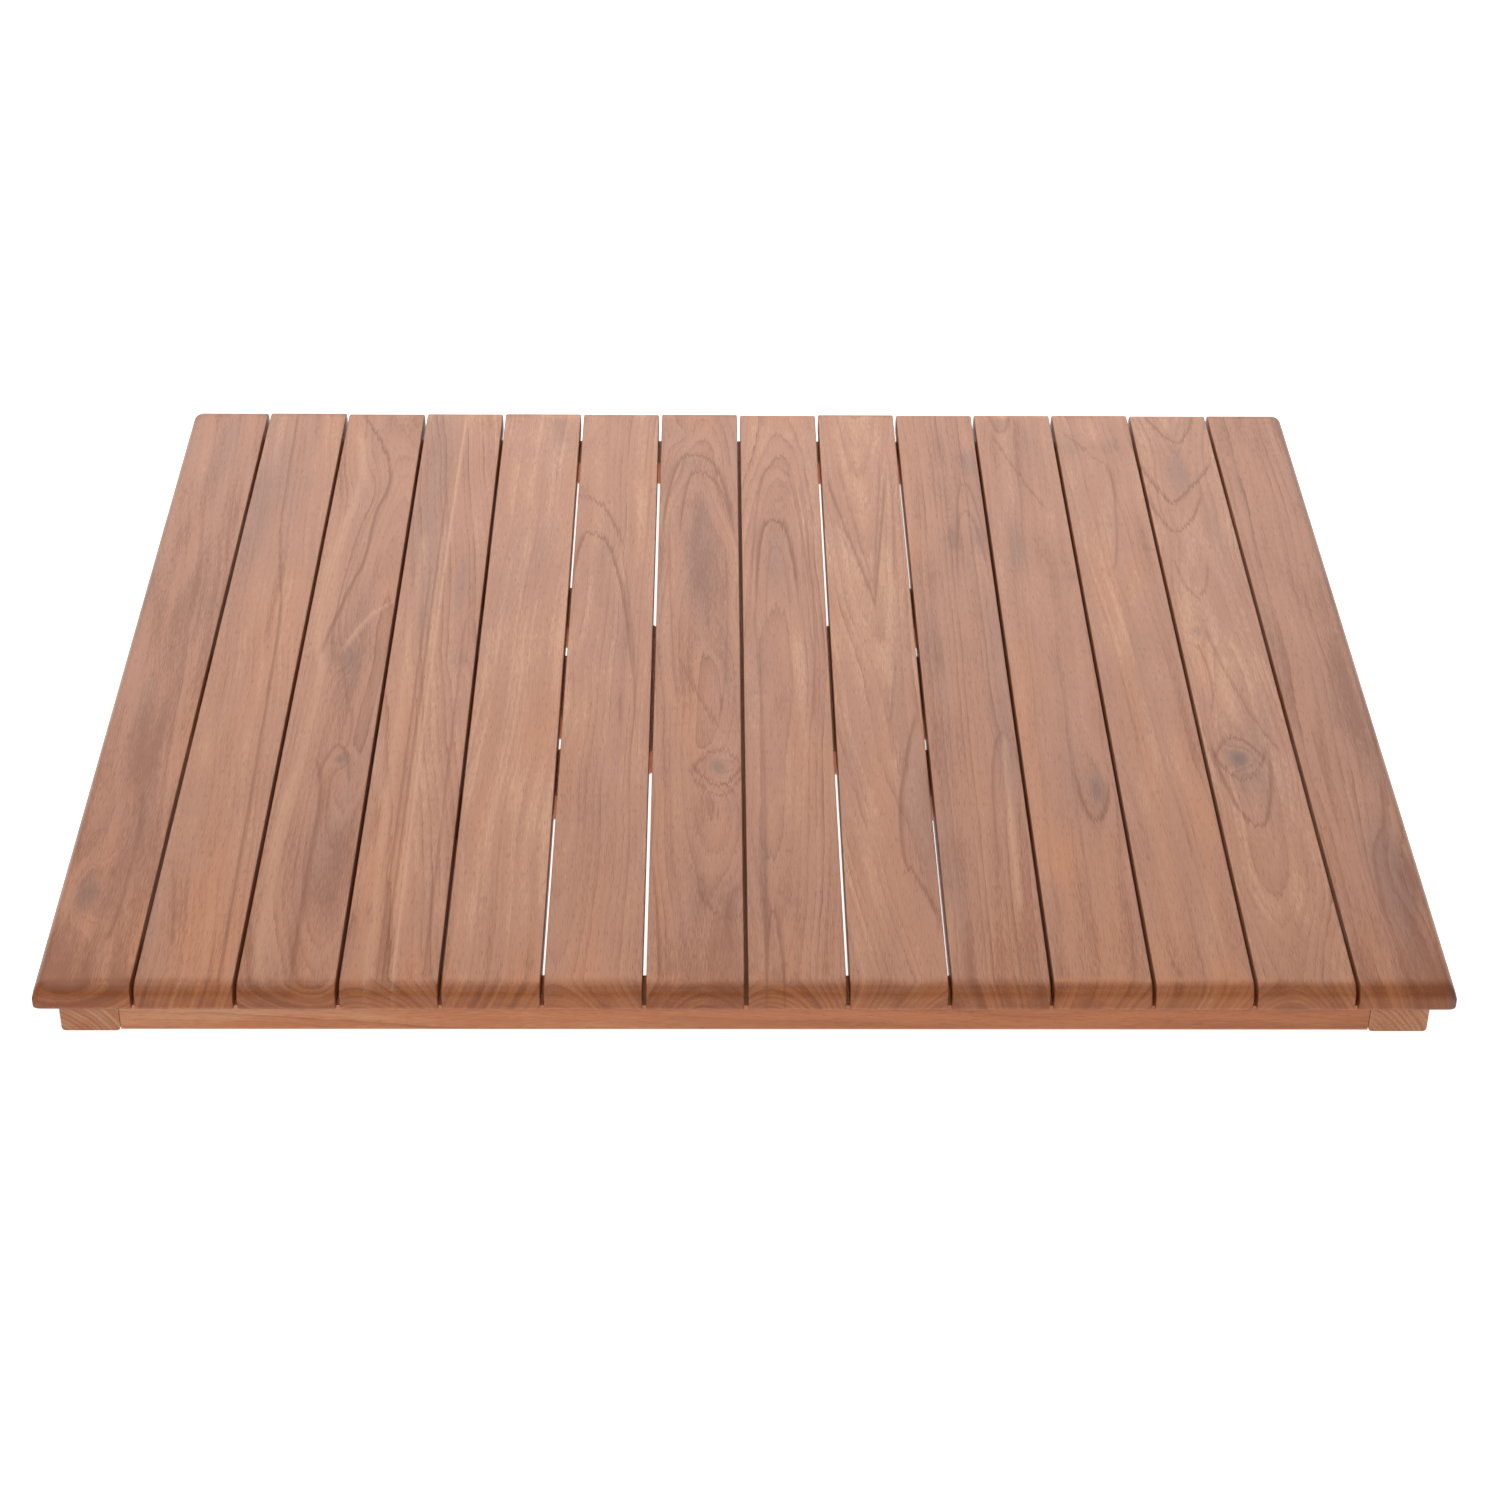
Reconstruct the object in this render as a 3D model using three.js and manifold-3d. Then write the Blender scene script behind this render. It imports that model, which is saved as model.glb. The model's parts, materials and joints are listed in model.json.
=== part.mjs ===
// A slatted hardwood bath mat: slats laid side by side, screwed from below to a braced underframe.
//
// Millimetres. +X runs across the slats, +Y along them towards the back, +Z up.
// The origin lies on the floor, under the middle of the mat.

import * as THREE from 'three';
import { mergeVertices } from 'three/addons/utils/BufferGeometryUtils.js';
import Module from 'manifold-3d';

// ---------------------------------------------------------------------------
// Driving dimensions
// ---------------------------------------------------------------------------

// The whole mat.
const MAT_WIDTH = 700;
const MAT_DEPTH = 600;

// Slats: long boards that form the deck.
const SLAT_COUNT = 14;
const SLAT_THICKNESS = 14;
const SLAT_GAP = 2.2;
const SLAT_EDGE_RADIUS = 1.2;
const SLAT_CORNER_RADIUS = 2.2;
const NOSE_TOP_RADIUS = 7;
const NOSE_BOTTOM_RADIUS = 2.2;

// Underframe: two side rails, a front and a back rail, a mid rail, a split bearer and four braces.
// The deck overhangs it on every side, and a little further at the back than at the front.
const FRAME_HEIGHT = 16;
const SIDE_OVERHANG = 11.7;
const FRONT_OVERHANG = 5;
const BACK_OVERHANG = 15;
const SIDE_RAIL_WIDTH = 29;
const FRONT_RAIL_WIDTH = 24;
const BACK_RAIL_WIDTH = 29;
const MID_RAIL_WIDTH = 64;
const BEARER_WIDTH = 34;
const BRACE_WIDTH = 34;
const RAIL_EDGE_RADIUS = 1.8;

// Mortise and tenon joints of the underframe.
const TENON_LENGTH = 14;
const TENON_HEIGHT = 7;
const TENON_SHOULDER = 4;
const JOINT_CLEARANCE = 0.3;

// Countersunk wood screws, driven up through the underframe into the slats.
const SCREW_SHANK_RADIUS = 2;
const SCREW_HEAD_RADIUS = 4;
const SCREW_HEAD_HEIGHT = 2.6;
const SCREW_RECESS = 1;
const SCREW_BITE = 10;
const SCREW_TIP_LENGTH = 3;
const SCREW_CLEARANCE = 0.3;
const SCREW_SIDES = 12;
const SIDE_SCREW_SETBACK = 20;

// Slats, counted from each side, that a mid rail screw and a brace screw enter.
const MID_SCREW_SLAT = 2;
const BRACE_SCREW_SLAT = 3;

// A cutter starts this far outside the wood, so that it leaves no skin.
const CUTTER_OVERRUN = 1;

// ---------------------------------------------------------------------------
// Places that follow from the driving dimensions
// ---------------------------------------------------------------------------

const slatWidth = (MAT_WIDTH - (SLAT_COUNT - 1) * SLAT_GAP) / SLAT_COUNT;
const slatPitch = slatWidth + SLAT_GAP;
const noseTopRadius = Math.min(NOSE_TOP_RADIUS, SLAT_THICKNESS - NOSE_BOTTOM_RADIUS - 1);

const frameHalfX = MAT_WIDTH / 2 - SIDE_OVERHANG;
const innerX = frameHalfX - SIDE_RAIL_WIDTH;
const sideRailX = frameHalfX - SIDE_RAIL_WIDTH / 2;
const screwTop = FRAME_HEIGHT + SCREW_BITE;

// The underframe's two ends. Outwards is -1 at the front and 1 at the back.
const front = frameEnd('front', -1, FRONT_OVERHANG, FRONT_RAIL_WIDTH);
const back = frameEnd('back', 1, BACK_OVERHANG, BACK_RAIL_WIDTH);
const frameDepth = back.faceY - front.faceY;
const midY = (front.faceY + back.faceY) / 2;

function frameEnd(name, outwards, overhang, railWidth) {
  const faceY = outwards * (MAT_DEPTH / 2 - overhang);
  return {
    name,
    faceY,
    railWidth,
    railY: faceY - (outwards * railWidth) / 2,
    innerY: faceY - outwards * railWidth,
    screwY: faceY - outwards * (railWidth + SIDE_SCREW_SETBACK),
  };
}

function slatX(index) {
  return (index - (SLAT_COUNT - 1) / 2) * slatPitch;
}

// ---------------------------------------------------------------------------
// Solids
// ---------------------------------------------------------------------------

const wasm = await Module();
wasm.setup();

const X = new THREE.Vector3(1, 0, 0);
const Y = new THREE.Vector3(0, 1, 0);
const Z = new THREE.Vector3(0, 0, 1);

// Turns an outline's own right, up and depth into the mat's axes.
const SEEN_FROM_FRONT = new THREE.Matrix4().makeBasis(X, Z, Y.clone().negate());
const SEEN_FROM_SIDE = new THREE.Matrix4().makeBasis(Y, Z, X);

function toSolid(geometry) {
  const bare = geometry.clone();
  bare.deleteAttribute('normal');
  bare.deleteAttribute('uv');
  const merged = mergeVertices(bare);
  return new wasm.Manifold(
    new wasm.Mesh({
      numProp: 3,
      vertProperties: new Float32Array(merged.attributes.position.array),
      triVerts: new Uint32Array(merged.index.array),
    })
  );
}

function toGeometry(solid) {
  const made = solid.getMesh();
  const geometry = new THREE.BufferGeometry();
  geometry.setAttribute('position', new THREE.BufferAttribute(made.vertProperties, made.numProp));
  geometry.setIndex(new THREE.BufferAttribute(made.triVerts, 1));
  geometry.computeVertexNormals();
  return geometry;
}

// A rectangle with its own radius at each corner: bottom left, bottom right, top right, top left.
function roundedRectangle(left, bottom, right, top, radii) {
  const corners = [
    { x: left, y: bottom, inX: 1, inY: 1 },
    { x: right, y: bottom, inX: -1, inY: 1 },
    { x: right, y: top, inX: -1, inY: -1 },
    { x: left, y: top, inX: 1, inY: -1 },
  ];
  const points = [];
  corners.forEach((corner, index) => {
    const radius = radii[index];
    const steps = radius > 0 ? Math.max(2, Math.ceil(radius * 0.75)) : 0;
    const start = Math.PI + (index * Math.PI) / 2;
    for (let step = 0; step <= steps; step += 1) {
      const angle = start + (steps ? (step / steps) * (Math.PI / 2) : 0);
      const centreX = corner.x + corner.inX * radius;
      const centreY = corner.y + corner.inY * radius;
      points.push(
        new THREE.Vector2(centreX + radius * Math.cos(angle), centreY + radius * Math.sin(angle))
      );
    }
  });
  return new THREE.Shape(points);
}

// The outline carried straight along its depth, half of the length to each side.
function prism(outline, length, basis) {
  const geometry = new THREE.ExtrudeGeometry(outline, { depth: length, bevelEnabled: false });
  geometry.translate(0, 0, -length / 2);
  if (basis) geometry.applyMatrix4(basis);
  return geometry;
}

function box(centre, size) {
  return toSolid(new THREE.BoxGeometry(size.x, size.y, size.z).translate(centre.x, centre.y, centre.z));
}

function point(x, y, z) {
  return new THREE.Vector3(x, y, z);
}

// A rail along X, standing on the floor, with its two lower edges eased.
function rail(length, width) {
  const radii = [RAIL_EDGE_RADIUS, RAIL_EDGE_RADIUS, 0, 0];
  const outline = roundedRectangle(-width / 2, 0, width / 2, FRAME_HEIGHT, radii);
  return prism(outline, length, SEEN_FROM_SIDE);
}

// A tenon, or the mortise that takes it when a clearance is given.
// It runs along X from one end of the rail to the other, past both shoulders.
function tenonThrough(length, railWidth, clearance) {
  const width = railWidth - 2 * TENON_SHOULDER + 2 * clearance;
  const height = TENON_HEIGHT + 2 * clearance;
  return new THREE.BoxGeometry(length + 2 * clearance, width, height).translate(0, 0, FRAME_HEIGHT / 2);
}

// A rail along X with a tenon at each end. The length is the opening that it fits.
function tenonedRail(opening, width) {
  const body = toSolid(rail(opening - 2 * JOINT_CLEARANCE, width));
  return body.add(toSolid(tenonThrough(opening + 2 * TENON_LENGTH, width, 0)));
}

// The room that a tenoned rail's tenons need on both sides of its opening.
function mortises(opening, width) {
  return toSolid(tenonThrough(opening + 2 * TENON_LENGTH, width, JOINT_CLEARANCE));
}

// ---------------------------------------------------------------------------
// Screws, and the holes that they pass through
// ---------------------------------------------------------------------------

function screwGeometry() {
  const length = screwTop - SCREW_RECESS;
  const profile = [
    new THREE.Vector2(0, 0),
    new THREE.Vector2(SCREW_HEAD_RADIUS, 0),
    new THREE.Vector2(SCREW_SHANK_RADIUS, SCREW_HEAD_HEIGHT),
    new THREE.Vector2(SCREW_SHANK_RADIUS, length - SCREW_TIP_LENGTH),
    new THREE.Vector2(0, length),
  ];
  return new THREE.LatheGeometry(profile, SCREW_SIDES).rotateX(Math.PI / 2);
}

// A countersunk hole from below the floor to just past the screw's tip.
function screwHole(x, y) {
  const headRadius = SCREW_HEAD_RADIUS + SCREW_CLEARANCE;
  const shankRadius = SCREW_SHANK_RADIUS + SCREW_CLEARANCE;
  const profile = [
    new THREE.Vector2(0, -CUTTER_OVERRUN),
    new THREE.Vector2(headRadius, -CUTTER_OVERRUN),
    new THREE.Vector2(headRadius, SCREW_RECESS),
    new THREE.Vector2(shankRadius, SCREW_RECESS + SCREW_HEAD_HEIGHT),
    new THREE.Vector2(shankRadius, screwTop + SCREW_CLEARANCE),
    new THREE.Vector2(0, screwTop + SCREW_CLEARANCE),
  ];
  return toSolid(new THREE.LatheGeometry(profile, SCREW_SIDES).rotateX(Math.PI / 2).translate(x, y, 0));
}

// Every screw, with the slat and the rail that it joins.
function placeScrews() {
  const screws = [];
  const lastSlat = SLAT_COUNT - 1;
  for (let slat = 1; slat < lastSlat; slat += 1) {
    for (const end of [front, back]) {
      const name = `screw_${end.name}_${slat + 1}`;
      screws.push({ name, slat, rail: `${end.name}_rail`, x: slatX(slat), y: end.railY });
    }
  }
  for (const side of [-1, 1]) {
    const sideName = side < 0 ? 'left' : 'right';
    const outerSlat = side < 0 ? 0 : lastSlat;
    const midSlat = side < 0 ? MID_SCREW_SLAT : lastSlat - MID_SCREW_SLAT;
    const braceSlat = side < 0 ? BRACE_SCREW_SLAT : lastSlat - BRACE_SCREW_SLAT;
    const braceShare = Math.abs(slatX(braceSlat)) / innerX;
    const midName = `screw_mid_${sideName}`;
    screws.push({ name: midName, slat: midSlat, rail: 'mid_rail', x: slatX(midSlat), y: midY });
    for (const end of [front, back]) {
      screws.push({
        name: `screw_${sideName}_${end.name}`,
        slat: outerSlat,
        rail: `${sideName}_rail`,
        x: side * sideRailX,
        y: end.screwY,
      });
      screws.push({
        name: `screw_brace_${sideName}_${end.name}`,
        slat: braceSlat,
        rail: `brace_${sideName}_${end.name}`,
        x: slatX(braceSlat),
        y: midY + (end.innerY - midY) * braceShare,
      });
    }
  }
  return screws;
}

const screws = placeScrews();

function drilled(solid, belongs) {
  return screws
    .filter(belongs)
    .reduce((wood, screw) => wood.subtract(screwHole(screw.x, screw.y)), solid);
}

// ---------------------------------------------------------------------------
// Underframe
// ---------------------------------------------------------------------------

const railColour = '#b9835c';
const endGrainColour = '#a97252';

function woodMaterial(colour) {
  return new THREE.MeshStandardMaterial({ color: colour, roughness: 0.62, metalness: 0 });
}

function addPiece(group, name, solid, colour) {
  const mesh = new THREE.Mesh(toGeometry(solid), woodMaterial(colour));
  mesh.name = name;
  group.add(mesh);
  return mesh;
}

function addRail(group, name, solid, colour) {
  addPiece(group, name, drilled(solid, (screw) => screw.rail === name), colour);
}

// A side rail runs the full depth. The front, mid and back rails are tenoned into its inner face.
function sideRail(side) {
  const body = rail(frameDepth, SIDE_RAIL_WIDTH).rotateZ(Math.PI / 2).translate(side * sideRailX, midY, 0);
  return toSolid(body)
    .subtract(mortises(2 * innerX, front.railWidth).translate([0, front.railY, 0]))
    .subtract(mortises(2 * innerX, back.railWidth).translate([0, back.railY, 0]))
    .subtract(mortises(2 * innerX, MID_RAIL_WIDTH).translate([0, midY, 0]));
}

// The bearer's two halves each stand between the mid rail and the rail at one end.
function bearerOpening(end) {
  return Math.abs(end.innerY - midY) - MID_RAIL_WIDTH / 2;
}

function bearerAt(end, solid) {
  const nearY = midY + (Math.sign(end.innerY - midY) * MID_RAIL_WIDTH) / 2;
  return solid.rotate([0, 0, 90]).translate([0, (nearY + end.innerY) / 2, 0]);
}

function bearerHalf(end) {
  return bearerAt(end, tenonedRail(bearerOpening(end), BEARER_WIDTH));
}

function bearerMortises(end) {
  return bearerAt(end, mortises(bearerOpening(end), BEARER_WIDTH));
}

function endRail(end) {
  return tenonedRail(2 * innerX, end.railWidth).translate([0, end.railY, 0]).subtract(bearerMortises(end));
}

function midRail() {
  return tenonedRail(2 * innerX, MID_RAIL_WIDTH)
    .translate([0, midY, 0])
    .subtract(bearerMortises(front))
    .subtract(bearerMortises(back));
}

// A brace runs from an inner corner of the frame towards the middle of the mid rail.
// Its ends are cut to the bay that it crosses, so they bear on the rails around it.
function brace(side, end) {
  const outwards = Math.sign(end.innerY - midY);
  const nearX = BEARER_WIDTH / 2 + JOINT_CLEARANCE;
  const farX = innerX - JOINT_CLEARANCE;
  const nearY = midY + outwards * (MID_RAIL_WIDTH / 2 + JOINT_CLEARANCE);
  const farY = end.innerY - outwards * JOINT_CLEARANCE;
  const bay = box(
    point((side * (nearX + farX)) / 2, (nearY + farY) / 2, FRAME_HEIGHT / 2),
    point(farX - nearX, Math.abs(farY - nearY), 2 * FRAME_HEIGHT)
  );
  const length = 2 * Math.hypot(MAT_WIDTH, MAT_DEPTH);
  const angle = Math.atan2(end.innerY - midY, side * innerX);
  return toSolid(rail(length, BRACE_WIDTH).rotateZ(angle).translate(0, midY, 0)).intersect(bay);
}

function underframe() {
  const group = new THREE.Group();
  addRail(group, 'left_rail', sideRail(-1), endGrainColour);
  addRail(group, 'right_rail', sideRail(1), endGrainColour);
  addRail(group, 'mid_rail', midRail(), railColour);
  for (const end of [front, back]) {
    addRail(group, `${end.name}_rail`, endRail(end), railColour);
    addPiece(group, `bearer_${end.name}`, bearerHalf(end), railColour);
    addRail(group, `brace_left_${end.name}`, brace(-1, end), railColour);
    addRail(group, `brace_right_${end.name}`, brace(1, end), railColour);
  }
  return group;
}

// ---------------------------------------------------------------------------
// Deck
// ---------------------------------------------------------------------------

// A slat is what three outlines have in common: its section, its side view and its plan.
// Both ends have the rounded nose, and an outer slat carries it along its outer edge too.
function slatSolid(index) {
  const outerLeft = index === 0;
  const outerRight = index === SLAT_COUNT - 1;
  const section = roundedRectangle(-slatWidth / 2, 0, slatWidth / 2, SLAT_THICKNESS, [
    outerLeft ? NOSE_BOTTOM_RADIUS : 0,
    outerRight ? NOSE_BOTTOM_RADIUS : 0,
    outerRight ? noseTopRadius : SLAT_EDGE_RADIUS,
    outerLeft ? noseTopRadius : SLAT_EDGE_RADIUS,
  ]);
  const sideView = roundedRectangle(-MAT_DEPTH / 2, 0, MAT_DEPTH / 2, SLAT_THICKNESS, [
    NOSE_BOTTOM_RADIUS,
    NOSE_BOTTOM_RADIUS,
    noseTopRadius,
    noseTopRadius,
  ]);
  const corners = new Array(4).fill(SLAT_CORNER_RADIUS);
  const plan = roundedRectangle(-slatWidth / 2, -MAT_DEPTH / 2, slatWidth / 2, MAT_DEPTH / 2, corners);
  return toSolid(prism(section, MAT_DEPTH, SEEN_FROM_FRONT))
    .intersect(toSolid(prism(sideView, slatWidth, SEEN_FROM_SIDE)))
    .intersect(toSolid(prism(plan, 2 * SLAT_THICKNESS)));
}

// Neighbouring boards differ a little in tone.
function slatColour(index) {
  const tone = 0.5 + 0.5 * Math.sin(index * 2.4);
  return new THREE.Color('#a67c64').lerp(new THREE.Color('#b58a70'), tone);
}

function deck() {
  const group = new THREE.Group();
  group.position.z = FRAME_HEIGHT;
  for (let index = 0; index < SLAT_COUNT; index += 1) {
    const inPlace = slatSolid(index).translate([slatX(index), 0, FRAME_HEIGHT]);
    const wood = drilled(inPlace, (screw) => screw.slat === index);
    const own = wood.translate([-slatX(index), 0, -FRAME_HEIGHT]);
    const slat = addPiece(group, `slat_${index + 1}`, own, slatColour(index));
    slat.position.x = slatX(index);
  }
  return group;
}

// ---------------------------------------------------------------------------
// Fasteners
// ---------------------------------------------------------------------------

function fasteners() {
  const group = new THREE.Group();
  group.position.z = SCREW_RECESS;
  const geometry = screwGeometry();
  for (const place of screws) {
    const material = new THREE.MeshStandardMaterial({ color: '#b9bcbe', roughness: 0.35, metalness: 1 });
    const screw = new THREE.Mesh(geometry, material);
    screw.name = place.name;
    screw.position.set(place.x, place.y, 0);
    group.add(screw);
  }
  return group;
}

const mat = new THREE.Group();
mat.add(underframe(), deck(), fasteners());

export default mat;
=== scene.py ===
# %% [markdown]
# # A slatted teak bath mat
# Fourteen teak slats lie side by side on a low, diagonally braced underframe, and screws from below
# hold them. The joinery of the underframe (rails, braces, tenons and mortises) comes ready-made from
# the packed CAD frame and keeps its shape. What is made here is what the eye stops at: softly
# rounded slats, teak whose growth rings run right through each board, and proper wood screws.

# %% Load the frame
import json
import math

import bmesh
import bpy
import numpy as np
from mathutils import Matrix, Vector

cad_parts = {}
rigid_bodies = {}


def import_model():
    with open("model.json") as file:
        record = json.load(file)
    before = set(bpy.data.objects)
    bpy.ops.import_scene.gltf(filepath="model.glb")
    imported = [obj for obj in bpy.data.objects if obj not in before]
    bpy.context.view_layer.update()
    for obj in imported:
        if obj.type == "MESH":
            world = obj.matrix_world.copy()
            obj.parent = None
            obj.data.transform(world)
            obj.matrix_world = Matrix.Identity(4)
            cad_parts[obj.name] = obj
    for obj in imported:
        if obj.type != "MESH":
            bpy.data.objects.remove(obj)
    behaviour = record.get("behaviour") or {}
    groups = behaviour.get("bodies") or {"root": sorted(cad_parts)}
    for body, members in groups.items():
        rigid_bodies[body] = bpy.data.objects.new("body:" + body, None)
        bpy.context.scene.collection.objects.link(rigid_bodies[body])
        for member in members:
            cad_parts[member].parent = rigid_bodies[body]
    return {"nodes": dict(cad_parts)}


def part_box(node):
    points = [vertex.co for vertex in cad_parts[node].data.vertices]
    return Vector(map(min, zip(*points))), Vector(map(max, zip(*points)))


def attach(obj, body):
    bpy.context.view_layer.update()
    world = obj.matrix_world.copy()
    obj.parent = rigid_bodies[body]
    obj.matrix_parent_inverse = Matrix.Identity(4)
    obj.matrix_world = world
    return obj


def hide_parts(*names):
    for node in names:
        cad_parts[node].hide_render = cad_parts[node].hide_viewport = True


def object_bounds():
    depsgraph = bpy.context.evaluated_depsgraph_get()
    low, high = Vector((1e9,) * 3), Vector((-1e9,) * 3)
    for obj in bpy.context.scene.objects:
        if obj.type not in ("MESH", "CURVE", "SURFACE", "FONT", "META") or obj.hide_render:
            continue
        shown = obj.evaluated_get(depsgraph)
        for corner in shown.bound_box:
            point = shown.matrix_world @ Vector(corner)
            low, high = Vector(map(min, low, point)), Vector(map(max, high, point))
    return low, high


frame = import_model()
cad_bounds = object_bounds()
MM = 0.001
print("CAD box in metres:", cad_bounds)

# %% [markdown]
# ## Camera
# The camera stands in front of the mat, a metre up, and looks down at 34 degrees. A fairly long
# lens keeps the slats nearly parallel while their far ends still draw in.

# %% Camera
CAMERA_PLACE = (-0.0182, -1.534, 1.0048)
CAMERA_YAW = math.radians(0.86)
CAMERA_PITCH = math.radians(34.03)
CAMERA_ROLL = math.radians(0.58)
CAMERA_LENS = 76.95
FILM_WIDTH = 36.0
NEAREST_SEEN = 0.05
FARTHEST_SEEN = 150.0


def camera_axes(yaw, pitch, roll):
    """Right, up and forward of a camera that is turned right, tipped down, then rolled."""
    forward = np.array([math.sin(yaw) * math.cos(pitch), math.cos(yaw) * math.cos(pitch), -math.sin(pitch)])
    level = np.array([math.cos(yaw), -math.sin(yaw), 0.0])
    plumb = np.cross(level, forward)
    right = level * math.cos(roll) + plumb * math.sin(roll)
    up = plumb * math.cos(roll) - level * math.sin(roll)
    return right, up, forward


def stand_at(thing, right, up, forward, place):
    """Put a camera or light at a place, looking along forward."""
    columns = np.column_stack([right, up, -forward, place])
    thing.matrix_world = Matrix(np.vstack([columns, (0, 0, 0, 1)]))
    bpy.context.scene.collection.objects.link(thing)


camera_data = bpy.data.cameras.new("camera")
camera_data.sensor_fit = "HORIZONTAL"
camera_data.sensor_width = FILM_WIDTH
camera_data.lens = CAMERA_LENS
camera_data.clip_start = NEAREST_SEEN
camera_data.clip_end = FARTHEST_SEEN
camera = bpy.data.objects.new("camera", camera_data)
stand_at(camera, *camera_axes(CAMERA_YAW, CAMERA_PITCH, CAMERA_ROLL), CAMERA_PLACE)
bpy.context.scene.camera = camera
print("camera at", CAMERA_PLACE)

# %% [markdown]
# ## Node shorthand
# A wood material needs a few dozen nodes, and even the floor needs ten. A small bench of helpers
# keeps their wiring readable: each call adds one node, plugs in what it is given, and hands back
# the result to plug on.

# %% Node bench
class Bench:
    """A material being wired: numbers are set on a socket, other nodes' results are linked to it."""

    def __init__(self, name):
        self.material = bpy.data.materials.new(name)
        self.material.use_nodes = True
        self.tree = self.material.node_tree
        self.tree.nodes.clear()

    def plug(self, socket, thing):
        if isinstance(thing, bpy.types.NodeSocket):
            self.tree.links.new(thing, socket)
        else:
            socket.default_value = thing

    def node(self, kind, inputs=(), **settings):
        made = self.tree.nodes.new(kind)
        for key, setting in settings.items():
            setattr(made, key, setting)
        for key, thing in dict(inputs).items():
            self.plug(made.inputs[key], thing)
        return made

    def math(self, operation, *terms):
        made = self.node("ShaderNodeMath", operation=operation)
        for socket, term in zip(made.inputs, terms):
            self.plug(socket, term)
        return made.outputs[0]

    def rise(self, value, low, high, start=0.0, end=1.0):
        """A smooth step from start to end while the value goes from low to high."""
        inputs = {"Value": value, "From Min": low, "From Max": high, "To Min": start, "To Max": end}
        return self.node("ShaderNodeMapRange", inputs, interpolation_type="SMOOTHSTEP").outputs[0]

    def mix(self, factor, first, second, blend="MIX"):
        made = self.node("ShaderNodeMix", data_type="RGBA", blend_type=blend)
        for index, thing in zip((0, 6, 7), (factor, first, second)):
            self.plug(made.inputs[index], thing)
        return made.outputs[2]

    def object_point(self):
        """Each point's place on the object, in metres."""
        return self.node("ShaderNodeTexCoord").outputs["Object"]

    def mapping(self, point, **changes):
        """A point scaled, then turned, then moved by Scale, Rotation and Location."""
        return self.node("ShaderNodeMapping", {"Vector": point, **changes}).outputs[0]

    def parts(self, point):
        """The x, y and z of a point."""
        return self.node("ShaderNodeSeparateXYZ", {0: point}).outputs

    def noise(self, point, size, detail=2.0, roughness=0.5):
        """Noise whose blobs have about the given sizes in millimetres along each axis."""
        vector = self.mapping(point, Scale=tuple(1.0 / length for length in size))
        inputs = {"Vector": vector, "Scale": 1.0, "Detail": detail, "Roughness": roughness}
        return self.node("ShaderNodeTexNoise", inputs).outputs[0]

    def attribute(self, name):
        return self.node("ShaderNodeAttribute", attribute_name=name).outputs["Fac"]

    def ramp(self, value, stops):
        made = self.node("ShaderNodeValToRGB", {"Fac": value})
        while len(made.color_ramp.elements) < len(stops):
            made.color_ramp.elements.new(0.5)
        for element, (position, level) in zip(made.color_ramp.elements, stops):
            element.position = position
            element.color = (level, level, level, 1.0)
        return made.outputs[0]

    def surface(self, inputs):
        """The finished material: one Principled shader with the given inputs."""
        skin = self.node("ShaderNodeBsdfPrincipled", inputs)
        self.node("ShaderNodeOutputMaterial", {"Surface": skin.outputs[0]})
        return self.material


print("bench helpers:", ", ".join(name for name in vars(Bench) if not name.startswith("_")))

# %% [markdown]
# ## Studio
# The mat lies in a plain white studio. One soft light hangs above it and a weaker one stands in
# front, for the noses of the slats. A third, low and wide, stands behind: it grazes the deck,
# so the far ends of the slats gain a pale sheen while the near ends keep their brown. The floor
# glows a little by itself, as a light table does, so it is clean white round the mat and through
# the middle gaps. Below the outer slats the glow is masked off, so their gaps stay dark. The
# world is white to look at but gives only a little light, so a low view has no grey horizon.

# %% Floor
FLOOR_SIZE = 100.0
FLOOR_GLOW = 0.95
FLOOR_GREY = 0.5
LIT_HALF_WIDTH = 0.122
SHADE_BLUR = 0.02
SHADE_SIDE_INSET = 0.04
SHADE_END_INSET = 0.02
SHADE_DEPTH = 0.95


def studio_white():
    """White that glows everywhere but below the outer slats: a mask of smooth steps in x and y."""
    bench = Bench("studio_white")
    split = bench.parts(bench.object_point())
    aside = bench.math("ABSOLUTE", split[0])
    ahead = bench.math("ABSOLUTE", split[1])
    side = cad_bounds[1][0] - SHADE_SIDE_INSET
    end = cad_bounds[1][1] - SHADE_END_INSET
    outside = bench.rise(aside, LIT_HALF_WIDTH, LIT_HALF_WIDTH + SHADE_BLUR)
    inside = bench.math("MULTIPLY", bench.rise(aside, side - SHADE_BLUR, side, 1.0, 0.0),
                        bench.rise(ahead, end - SHADE_BLUR, end, 1.0, 0.0))
    shade = bench.math("MULTIPLY", outside, inside)
    glow = bench.math("MULTIPLY_ADD", shade, -SHADE_DEPTH * FLOOR_GLOW, FLOOR_GLOW)
    return bench.surface({
        "Base Color": (FLOOR_GREY, FLOOR_GREY, FLOOR_GREY, 1.0), "Roughness": 1.0,
        "Specular IOR Level": 0.0, "Emission Color": (1.0, 1.0, 1.0, 1.0), "Emission Strength": glow})


def make_floor():
    """One square at height 0, centred on the mat."""
    half = FLOOR_SIZE / 2
    corners = [(-half, -half, 0), (half, -half, 0), (half, half, 0), (-half, half, 0)]
    mesh = bpy.data.meshes.new("studio_floor")
    mesh.from_pydata(corners, [], [(0, 1, 2, 3)])
    mesh.materials.append(studio_white())
    floor = bpy.data.objects.new("studio_floor", mesh)
    bpy.context.scene.collection.objects.link(floor)


make_floor()
print("floor", FLOOR_SIZE, "m square, glow", FLOOR_GLOW)

# %% World
WORLD_STRENGTH = 0.12


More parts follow.
